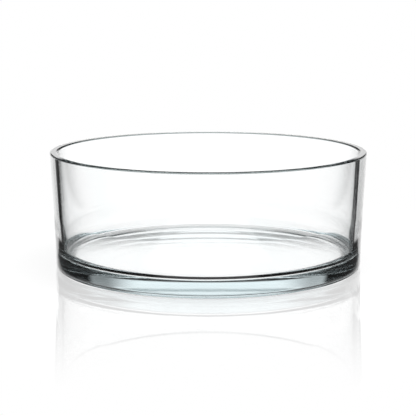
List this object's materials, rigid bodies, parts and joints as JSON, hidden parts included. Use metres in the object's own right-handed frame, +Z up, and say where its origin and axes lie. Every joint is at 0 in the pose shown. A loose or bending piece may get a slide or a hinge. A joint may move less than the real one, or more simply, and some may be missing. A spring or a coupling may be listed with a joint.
{
  "type": "glass bowl",
  "caption": "Low, wide clear-glass serving bowl with almost upright, slightly flared sides, a thick flat floor and a flat-topped rounded rim.",
  "frame": {"origin": "centre of the plane that the bowl stands on", "axes": "+Z up along the bowl's axis of revolution; X and Y are alike, because the bowl is round"},
  "size_m": [0.22, 0.22, 0.0805],
  "materials": {
    "clear_glass": "clear pressed glass, polished, with a faint blue-green tint where it is thick"
  },
  "bodies": {
    "root": {"glass_bowl": "clear_glass"}
  },
  "joints": []
}
